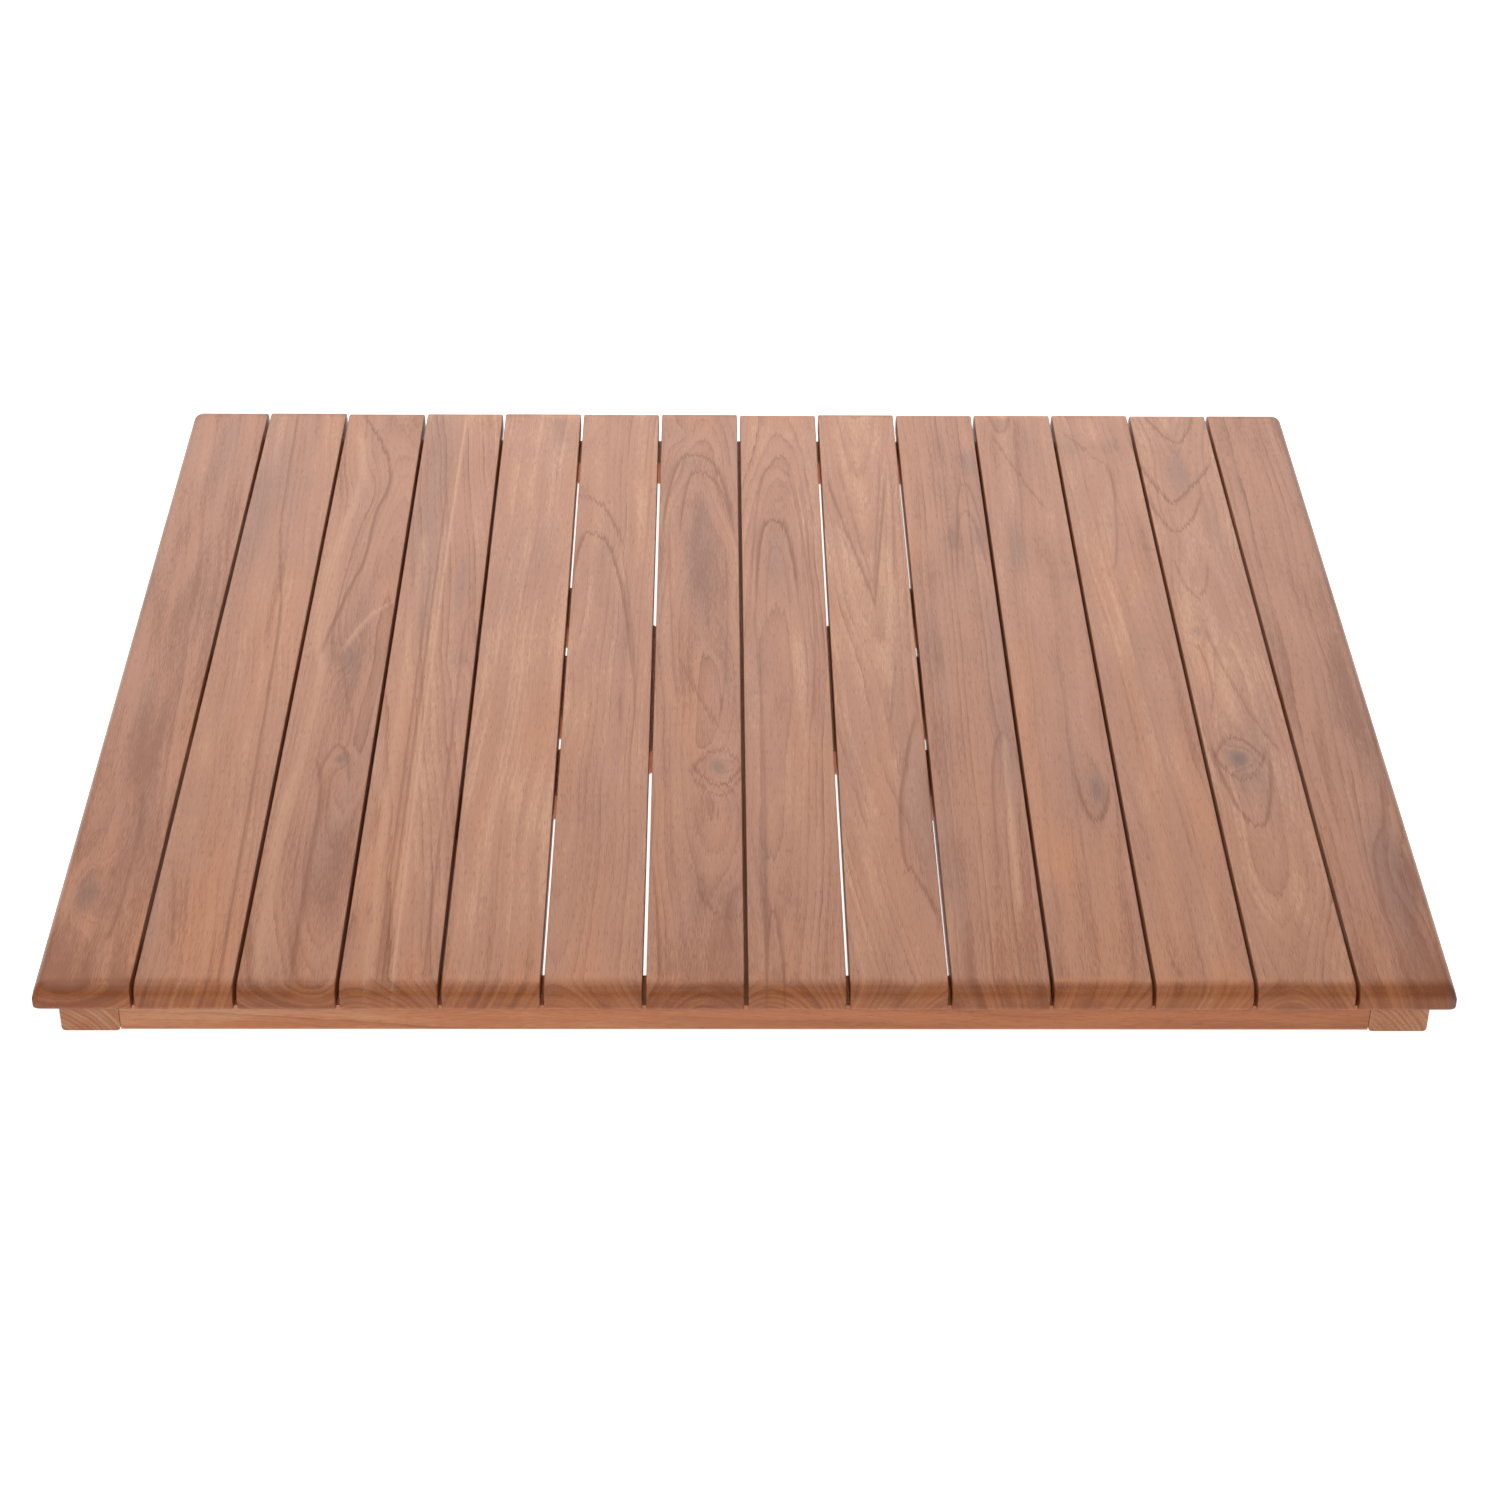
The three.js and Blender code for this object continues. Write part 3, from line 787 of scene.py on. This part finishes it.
# %% Ring lines
def ring_lines(bench, point, rings, end, board):
    """Dark year lines from the ring count: jagged along the pores, some bold and some faint.

    Also gives back broad bands that follow the same rings: noise across the count, slow along it.
    """
    jag = bench.noise(point, JAG_SIZE, 3.0, 0.6)
    jag = bench.math("MULTIPLY", jag, bench.math("MULTIPLY_ADD", end, -0.8, 1.0))
    count = bench.math("MULTIPLY_ADD", jag, board.get("jag", DEFAULT_JAG), rings)
    line = bench.ramp(bench.math("FRACT", count), RING_PROFILE)
    year = bench.math("FLOOR", count)
    luck = bench.node("ShaderNodeTexWhiteNoise", {"W": year}, noise_dimensions="1D").outputs["Value"]
    patchy = bench.rise(bench.noise(point, BOLD_SIZE), 0.3, 0.7, 0.3, 1.0)
    weight = bench.math("MULTIPLY", bench.rise(luck, 0.1, 1.0, 0.2, 1.0), patchy)
    on_end = bench.math("MULTIPLY", end, bench.rise(luck, 0.0, 1.0, 0.55, 1.0))
    weight = bench.math("MAXIMUM", weight, on_end)
    slow = bench.math("MULTIPLY", bench.parts(point)[1], 0.006)
    spot = bench.node("ShaderNodeCombineXYZ", {0: count, 1: slow}).outputs[0]
    inputs = {"Vector": spot, "Scale": 0.7, "Detail": 1.0, "Roughness": 0.5}
    bands = bench.node("ShaderNodeTexNoise", inputs).outputs[0]
    strength = bench.math("MAXIMUM", bench.math("MULTIPLY", end, END_LINES), board["lines"])
    return bench.math("MULTIPLY", bench.math("MULTIPLY", line, weight), strength), bands


def drawn_lines(bench, point, place, colour, board, wood):
    """Lay the board's own veins and arches over its colour."""
    shake = bench.math("SUBTRACT", bench.noise(point, SHAKE_SIZE, 3.0, 0.65), 0.5)
    split = bench.parts(place)
    across = bench.math("MULTIPLY_ADD", shake, 1.6, split[0])
    along = bench.math("MULTIPLY_ADD", shake, 22.0, split[1])
    masks = [(vein_mask(bench, across, along, width, path), strength)
             for width, strength, path in board.get("veins", ())]
    masks += [(arch_mask(bench, across, along, arch), arch[-1]) for arch in board.get("arches", ())]
    for mask, strength in masks:
        tint = wood["line"] if strength > 0 else wood["pale"]
        colour = bench.mix(bench.math("MULTIPLY", mask, abs(strength) * DRAWN_DEPTH), colour, tint)
    return colour


# %% Teak
def teak(bench, point, place, rings, warmth, light, core, end, board, wood):
    """Wire the teak: point is in the wood with y along the grain, place is on this one board.

    The drift is broad noise plus the stored warmth, and moves the colour to orange or mauve. The
    lift is fibre, bands and clouds plus the stored light, and moves it to pale or dark.
    """
    drawn, bands = ring_lines(bench, point, rings, end, board)
    broad = bench.noise(point, DRIFT_SIZE)
    drift = bench.math("ADD", bench.math("MULTIPLY_ADD", broad, 2.4, -1.2), warmth)
    colour = bench.mix(bench.rise(drift, 0.0, 1.0, 0.0, 0.80), wood["mid"], wood["orange"])
    colour = bench.mix(bench.rise(drift, 0.0, -1.0, 0.0, 0.90), colour, wood["mauve"])
    cloud = bench.noise(point, CLOUD_SIZE, 1.0)
    fine = bench.noise(point, FIBRE_SIZE, 3.0, 0.65)
    lift = bench.math("MULTIPLY_ADD", fine, 1.3, bench.math("MULTIPLY_ADD", bands, 1.0, -1.60))
    lift = bench.math("ADD", bench.math("MULTIPLY_ADD", cloud, 0.9, lift), light)
    lift = bench.math("MULTIPLY_ADD", end, bench.math("MULTIPLY_ADD", bands, 1.3, -0.60), lift)
    colour = bench.mix(bench.rise(lift, 0.0, 0.7, 0.0, 0.85), colour, wood["pale"])
    colour = bench.mix(bench.rise(lift, 0.0, -0.7, 0.0, 0.60), colour, wood["line"])
    colour = bench.mix(end, colour, wood["end"], "MULTIPLY")
    colour = bench.mix(bench.math("MULTIPLY", drawn, LINE_DEPTH), colour, wood["line"])
    colour = drawn_lines(bench, point, place, colour, board, wood)
    colour = bench.mix(core, colour, wood["knot"])
    pores = bench.rise(bench.noise(point, PORE_SIZE, 1.0), 0.60, 0.74)
    colour = bench.mix(bench.math("MULTIPLY", pores, PORE_DEPTH), colour, wood["line"])

    rough = bench.math("MULTIPLY_ADD", fine, 0.18, 0.31)
    hollows = bench.math("MULTIPLY_ADD", pores, 0.7, drawn)
    relief = bench.math("SUBTRACT", bench.math("MULTIPLY", fine, 0.5), hollows)
    bump = bench.node("ShaderNodeBump", {"Height": relief, "Distance": BUMP_HEIGHT, "Strength": 0.5})
    return bench.surface({
        "Base Color": colour, "Roughness": rough, "Normal": bump.outputs[0], "Specular IOR Level": 0.30})


# %% [markdown]
# ## Noses, painted highlights and painted shade on a slat
# The noses are end grain, so they are darker, and the change from face to nose is never a ruled
# line. Where the round-over starts, a painted highlight runs along the arris, board by board; on
# a few boards it is a darker line instead. The lower part of every edge and the front of the mat
# carry painted shade: they are a little darker and warmer. These could be noise in the material,
# but they follow the slat's own shape, so they are worked out point by point and stored on the mesh.

# %% End grain, painted highlight and painted shade
END_STEP = 8.0
END_MARGIN = 3.5
END_WAVE = 1.2
ARRIS_MARGIN = 0.6
EDGE_REACH = 900.0
LOWER_START = 0.6
FRONT_SHADE_REACH = 60.0


def end_share(x, y, low, high, seed):
    """0 on the faces of a slat and 1 round its noses: a smooth step with a wavy start.

    With t from 0 to 1 over END_STEP millimetres, the step is t squared times (3 less 2 t).
    """
    reach = np.minimum(y - low, high - y) + END_WAVE * ripple(x, y, seed, 26.0, EDGE_REACH)
    share = np.clip((NOSE_TOP + END_MARGIN - reach) / END_STEP, 0.0, 1.0)
    return share * share * (3.0 - 2.0 * share)


def arris_band(x, y, low, high, seed):
    """A painted highlight where the round-over starts: a bell curve of the distance, of wavy width and
    strength.
    """
    reach = np.minimum(y - low, high - y)
    highlight_width = 1.5 + 2.6 * np.clip(ripple(x, y, seed, 34.0, EDGE_REACH), 0.0, 1.5)
    strength = 0.7 + 0.6 * ripple(x, y, seed + 9, 30.0, EDGE_REACH)
    return np.exp(-((reach - NOSE_TOP - ARRIS_MARGIN) / highlight_width) ** 2) * strength


def lower_shade(z, thickness):
    """Painted shade low on each edge: 0 down to LOWER_START of the depth, then the square of the rest's
    share, so 1 at the bottom.
    """
    share = np.clip((-z / thickness - LOWER_START) / (1.0 - LOWER_START), 0.0, 1.0)
    return share * share


def front_shade_share(y, low):
    """Painted shade at the front of the mat: 1 at the front end, falling as a bell curve of the distance
    from it.
    """
    return np.exp(-((y - low) / FRONT_SHADE_REACH) ** 2)


print("noses darken over", END_STEP, "mm")


# %% Slats
RING_START = 40.0
RING_SEED, DRIFT_SEED, ARRIS_SEED, END_SEED = 100, 300, 500, 700
CORE_SHARE = 0.55


def store(mesh, name, values):
    """Put one number per point on the mesh, for the material to read as an attribute."""
    attribute = mesh.attributes.new(name, "FLOAT", "POINT")
    attribute.data.foreach_set("value", values.astype(np.float32).ravel())


def store_grain(mesh, grid, low, high, number):
    """Store the ring count, warmth, lightness with its painted highlight and painted shade, knot cores and
    end grain of one slat.
    """
    board = BOARDS[number - 1]
    x, y, z = grid[..., 0] - low[0], grid[..., 1], grid[..., 2] - high[2]
    spots = board["patches"]
    # Painted highlight along the arris, paler and warmer; where the board's strength is below zero it is a
    # darker line instead.
    arris = board["arris"] * arris_band(x, y, low[1], high[1], ARRIS_SEED + number)
    drift = 0.25 * ripple(x, y, DRIFT_SEED + number, 60.0, 400.0)
    # Painted shade: the front of the mat is made darker and warmer.
    front_shade = front_shade_share(y, low[1])
    # Painted shade: the lower part of every edge is made darker and warmer.
    low_edge_shade = lower_shade(z, high[2] - low[2])
    # Warmth and light mix the board's own patches and tone with the painted highlight and painted shade.
    warmth = blotches(x, y, spots, 4) + drift + 0.9 * np.abs(arris) + 0.35 * front_shade + 0.5 * low_edge_shade
    shade = 0.22 * low_edge_shade + 0.22 * front_shade
    light = blotches(x, y, spots, 5) + board["tone"] + 0.32 * arris - shade
    cores = [(kx, ky, rx * CORE_SHARE, ry * CORE_SHARE, dark)
             for kx, ky, rx, ry, _, dark in board.get("knots", ())]
    store(mesh, "rings", ring_count(x, y, z, board, RING_SEED + number) + RING_START)
    store(mesh, "warmth", warmth)
    store(mesh, "light", light)
    store(mesh, "core", blotches(x, y, cores, 4))
    store(mesh, "end", end_share(x, y, low[1], high[1], END_SEED + number))


def board_teak(low, high, number):
    """The material of one slat, which reads what is stored on its mesh."""
    bench = Bench(f"teak_board_{number}")
    shift = (-low[0], 0.0, -high[2])
    place = bench.mapping(bench.object_point(), Scale=(1 / MM,) * 3, Location=shift)
    point = bench.mapping(place, Location=(137.0 * number, 613.0 * number, 0.0))
    rings, warmth, light, core, end = (
        bench.attribute(name) for name in ("rings", "warmth", "light", "core", "end"))
    return teak(bench, point, place, rings, warmth, light, core, end, BOARDS[number - 1], SLAT_TEAK)


def make_slat(number):
    """One slat from its surface, its stored grain and its own material."""
    grid, low, high = slat_points(number)
    rows, columns = grid.shape[:2]
    slat = mesh_object(f"teak_slat_{number}", grid.reshape(-1, 3), closed_tube_faces(rows, columns))
    store_grain(slat.data, grid, low, high, number)
    slat.data.materials.append(board_teak(low, high, number))
    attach(slat, "root")
    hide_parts(f"slat_{number}")
    return slat


slats = [make_slat(number) for number in range(1, SLAT_COUNT + 1)]
print(len(slats), "slats of", len(slats[0].data.polygons), "faces")

# %% [markdown]
# ## Underframe
# The rails, bearers and braces keep their CAD shape, which already has eased edges, tenons and
# screw holes. They come from plainer, more orange stock than the slats. Their mesh stays as it
# is, so the ring count is worked out in the nodes: the grain's direction in plan turns the point,
# and a leaning pith line below one edge gives the rings. End grain shows where a face looks
# along the grain.

# %% Rail teak
RAIL_TEAK = {
    "mid": (0.515, 0.186, 0.075, 1.0),
    "line": (0.260, 0.076, 0.028, 1.0),
    "pale": (0.620, 0.310, 0.165, 1.0),
    "mauve": (0.380, 0.155, 0.084, 1.0),
    "orange": (0.520, 0.178, 0.070, 1.0),
    "knot": (0.220, 0.110, 0.070, 1.0),
    "end": (0.880, 0.910, 0.930, 1.0),
}
PITH_ASIDE = 34.0
PITH_BELOW = 26.0
PITH_LEAN = 0.03
RAIL_RING = 2.6
RAIL_BOARD = {"lines": 0.75, "jag": 0.6}
RAIL_BEND = 9.0
RAIL_FADE = -0.0010
RAIL_WARMTH = 0.1
print("rail rings every", RAIL_RING, "mm")


# %% Rails
def grain_turn(name, low, high):
    """Angle that turns a rail's grain onto y: along its longer side, or its diagonal for a brace."""
    span = high - low
    if name.startswith("brace"):
        rising = 1.0 if name in ("brace_left_front", "brace_right_back") else -1.0
        return math.atan2(rising * span[0], span[1])
    return math.pi / 2 if span[0] > span[1] else 0.0


def rail_rings(bench, point, split):
    """Distance from a leaning pith line below one edge, divided by the ring spacing."""
    bend = bench.noise(point, (40.0, 140.0, 40.0))
    aside = bench.math("ADD", bench.math("MULTIPLY_ADD", split[1], PITH_LEAN, split[0]), PITH_ASIDE)
    aside = bench.math("MULTIPLY_ADD", bend, RAIL_BEND, aside)
    above = bench.math("ADD", split[2], PITH_BELOW)
    square = bench.math("ADD", bench.math("MULTIPLY", aside, aside), bench.math("MULTIPLY", above, above))
    return bench.math("MULTIPLY", bench.math("SQRT", square), 1.0 / RAIL_RING)


def finish_rail(name, number):
    """Give one CAD rail its teak; the mesh stays as it is."""
    low, high = (np.array(corner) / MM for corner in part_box(name))
    turn = grain_turn(name, low, high)
    bench = Bench(f"teak_{name}")
    middle = bench.mapping(
        bench.object_point(), Scale=(1 / MM,) * 3, Location=tuple(-(low + high) / 2))
    place = bench.mapping(middle, Rotation=(0.0, 0.0, turn))
    point = bench.mapping(place, Location=(91.0 * number, 457.0 * number, 0.0))
    split = bench.parts(place)

    facing = bench.node("ShaderNodeNewGeometry").outputs["Normal"]
    grain = (math.sin(turn), math.cos(turn), 0.0)
    along = bench.node("ShaderNodeVectorMath", {0: facing, 1: grain}, operation="DOT_PRODUCT")
    end = bench.rise(bench.math("ABSOLUTE", along.outputs["Value"]), 0.75, 0.95)
    light = bench.math("MULTIPLY", split[1], RAIL_FADE)
    rings = rail_rings(bench, point, split)
    material = teak(bench, point, place, rings, RAIL_WARMTH, light, 0.0, end, RAIL_BOARD, RAIL_TEAK)
    bpy.data.objects[name].material_slots[0].material = material


RAILS = [name for name in frame["nodes"] if not name.startswith(("slat_", "screw_"))]
for number, name in enumerate(sorted(RAILS)):
    finish_rail(name, number)
print(len(RAILS), "rails finished:", ", ".join(sorted(RAILS)))

# %% [markdown]
# ## Screws
# Stainless countersunk wood screws come up from below and sit a millimetre inside the rails.
# They are turned parts, so one grid makes the whole screw: rings of points from the middle of
# the head, over its rim and cone, up the shank and into the tip. The thread is a ridge that
# climbs as it goes round. The cross recess is pressed into the head's face.

# %% Screw shape
SCREW_AROUND = 36
HEAD_RADIUS = 4.0
HEAD_HEIGHT = 2.6
SHANK_RADIUS = 2.0
THREAD_PITCH = 1.7
THREAD_DEPTH = 0.55
RECESS_DEPTH = 1.5
RECESS_HALF_WIDTH = 0.5
RECESS_REACH = 2.2
TIP_LENGTH = 3.0
THREAD_STEPS = 6
THREAD_START = 1.5
THREAD_RISE = 1.5
THREAD_STOP = 0.6
THREAD_FALL = 2.0
CREST_HALF_SHARE = 0.28
POLE_REACH = 0.0000001
print("screw head", 2 * HEAD_RADIUS, "mm across, thread pitch", THREAD_PITCH, "mm")


# %% Screw surface
def cross_recess(x, y):
    """Depth of the drive recess: full in the middle, shallower along four narrowing arms."""
    arm = np.minimum(np.abs(x), np.abs(y))
    reach = np.maximum(np.abs(x), np.abs(y))
    beside = np.clip((RECESS_HALF_WIDTH - arm) / 0.15, 0.0, 1.0)
    within = np.clip((RECESS_REACH - reach) / 0.25, 0.0, 1.0)
    return RECESS_DEPTH * (beside * within) * (1.0 - 0.55 * reach / RECESS_REACH)


def screw_grid(length):
    """Rings of points from the head's middle to the tip, at height 0 to length along the screw.

    The radius is the turned profile plus the thread: a ridge where the height, in pitches, less
    the turn, in full turns, is near a half, and which fades in below the head and out at the tip.
    """
    turn = np.linspace(0.0, 2 * math.pi, SCREW_AROUND, endpoint=False)
    face = np.array([0.0, 0.3, 0.42, 0.6, 1.0, 1.5, 1.9, 2.0, 2.3, 3.0, 3.7])
    cone_radius = np.array([3.95, HEAD_RADIUS, 3.95, 3.1, 2.3, SHANK_RADIUS * 0.8])
    cone_height = np.array([0.02, 0.18, 0.32, 1.25, 2.1, HEAD_HEIGHT])
    tip_start = length - TIP_LENGTH
    shank_height = np.arange(HEAD_HEIGHT + 0.4, tip_start, THREAD_PITCH / THREAD_STEPS)
    shank_radius = np.full_like(shank_height, SHANK_RADIUS - THREAD_DEPTH)
    tip_height = np.array([0.0, 0.8, 1.6, 2.3, 2.8, TIP_LENGTH]) + tip_start
    tip_radius = (SHANK_RADIUS - THREAD_DEPTH) * np.array([1.0, 0.86, 0.62, 0.36, 0.14, 0.0])
    radius = np.concatenate([face, cone_radius, shank_radius, tip_radius])[:, None]
    height = np.concatenate([0 * face, cone_height, shank_height, tip_height])[:, None]
    phase = (height / THREAD_PITCH - turn / (2 * math.pi)) % 1.0
    ridge = np.clip(1.0 - np.abs(phase - 0.5) / CREST_HALF_SHARE, 0.0, 1.0)
    fade_in = np.clip((height - HEAD_HEIGHT - THREAD_START) / THREAD_RISE, 0.0, 1.0)
    fade_out = np.clip((length - THREAD_STOP - height) / THREAD_FALL, 0.0, 1.0)
    around = radius + THREAD_DEPTH * ridge * (fade_in * fade_out)
    x, y = around * np.cos(turn), around * np.sin(turn)
    flat = np.arange(len(radius))[:, None] < len(face)
    return np.stack([x, y, height + np.where(flat, cross_recess(x, y), 0.0)], axis=-1)


def turned_faces(rows, around):
    """Quads of a grid closed round its columns, listed so they face outwards."""
    row, column = np.meshgrid(np.arange(rows - 1), np.arange(around), indexing="ij")
    beside = (column + 1) % around
    return np.stack([row * around + column, row * around + beside,
                     (row + 1) * around + beside, (row + 1) * around + column], axis=-1).reshape(-1, 4)


def close_poles(mesh):
    """Merge the points that lie on each other at the middle of the head and at the tip."""
    joined = bmesh.new()
    joined.from_mesh(mesh)
    bmesh.ops.remove_doubles(joined, verts=joined.verts, dist=POLE_REACH)
    joined.to_mesh(mesh)
    joined.free()


# %% Screw steel
def screw_steel():
    """Plain stainless steel with fine turning marks round the screw and a slightly dull grain."""
    bench = Bench("screw_steel")
    point = bench.mapping(bench.object_point(), Scale=(1 / MM,) * 3)
    mottle = bench.noise(point, (1.6, 1.6, 1.6), 3.0)
    marks = bench.noise(point, (4.0, 4.0, 0.12))
    colour = bench.mix(mottle, (0.50, 0.51, 0.52, 1.0), (0.66, 0.66, 0.66, 1.0))
    rough = bench.math("MULTIPLY_ADD", marks, 0.25, 0.22)
    bump = bench.node("ShaderNodeBump", {"Height": marks, "Distance": 0.00003, "Strength": 0.4})
    return bench.surface({
        "Base Color": colour, "Roughness": rough, "Metallic": 1.0, "Normal": bump.outputs[0]})


steel = screw_steel()
print("steel:", steel.name)


# %% Screws
def make_screw(name, turns):
    """One screw in its CAD node's place, turned about its own axis by a random angle."""
    low, high = (np.array(corner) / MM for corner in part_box(name))
    grid = screw_grid(high[2] - low[2])
    angle = turns.uniform(0.0, math.pi / 2)
    turned = np.array([[math.cos(angle), math.sin(angle), 0.0],
                       [-math.sin(angle), math.cos(angle), 0.0], [0.0, 0.0, 1.0]])
    points = grid.reshape(-1, 3) @ turned + np.array([*(low + high)[:2] / 2, low[2]])
    screw = mesh_object(f"steel_{name}", points, turned_faces(len(grid), SCREW_AROUND))
    close_poles(screw.data)
    screw.data.materials.append(steel)
    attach(screw, "root")
    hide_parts(name)
    return screw


turns = np.random.default_rng(7)
screws = [make_screw(name, turns) for name in sorted(frame["nodes"]) if name.startswith("screw_")]
print(len(screws), "screws of", len(screws[0].data.polygons), "faces")
